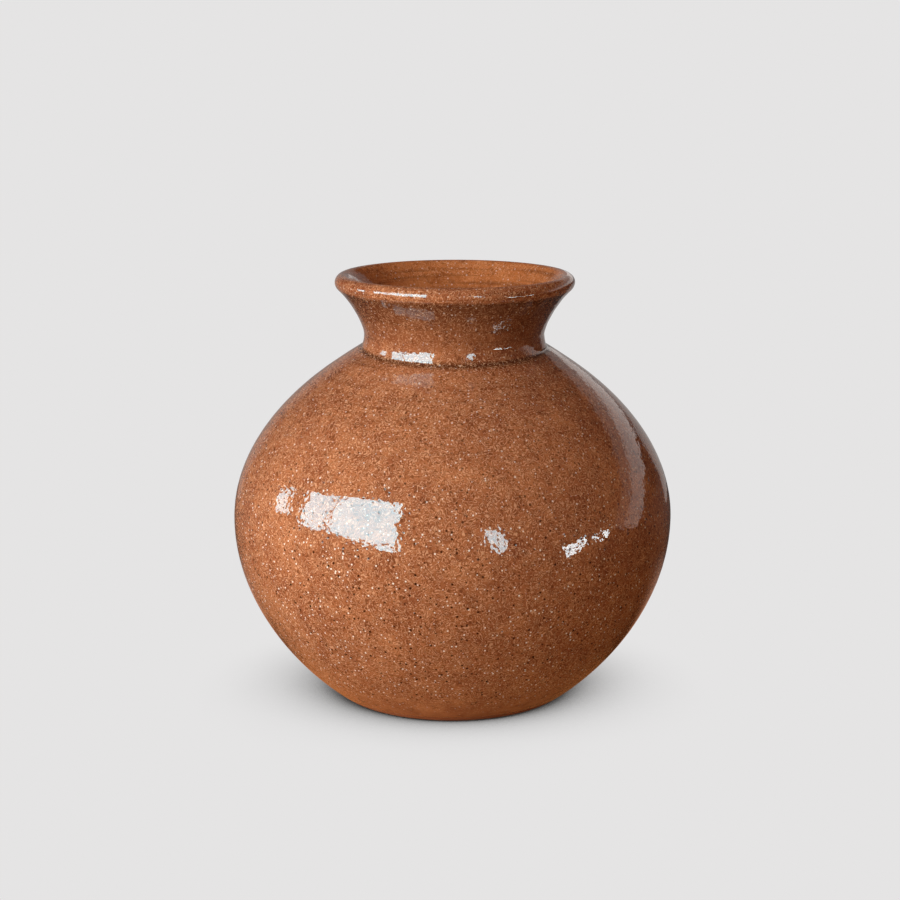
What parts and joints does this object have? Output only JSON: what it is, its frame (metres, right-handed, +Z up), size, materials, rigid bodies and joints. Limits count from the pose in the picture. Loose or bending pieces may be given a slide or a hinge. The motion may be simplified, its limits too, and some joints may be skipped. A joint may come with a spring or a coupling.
{
  "type": "cantaro vase",
  "caption": "Round-bellied glazed earthenware vase with a flat foot, sloping shoulder, short waisted neck and thick rolled lip, for standing flowers, branches or water.",
  "frame": {"origin": "centre of the foot, on the surface that the vase stands on", "axes": "+Z up along the axis that the pot is turned about, out of its mouth; +Y away from the viewer in the picture's view and +X to the right"},
  "size_m": [0.2402, 0.2402, 0.2332],
  "materials": {
    "bare_clay": "fired red clay with pale grit, unglazed and matt",
    "brown_glaze": "glossy clear glaze over speckled red-brown clay"
  },
  "bodies": {
    "root": {"floor_pat": "bare_clay", "belly_lower": "bare_clay", "belly_upper": "bare_clay", "neck_collar": "bare_clay", "neck_welt": "bare_clay", "lip_coil": "bare_clay", "outer_glaze": "brown_glaze", "inner_glaze": "brown_glaze"}
  },
  "joints": []
}
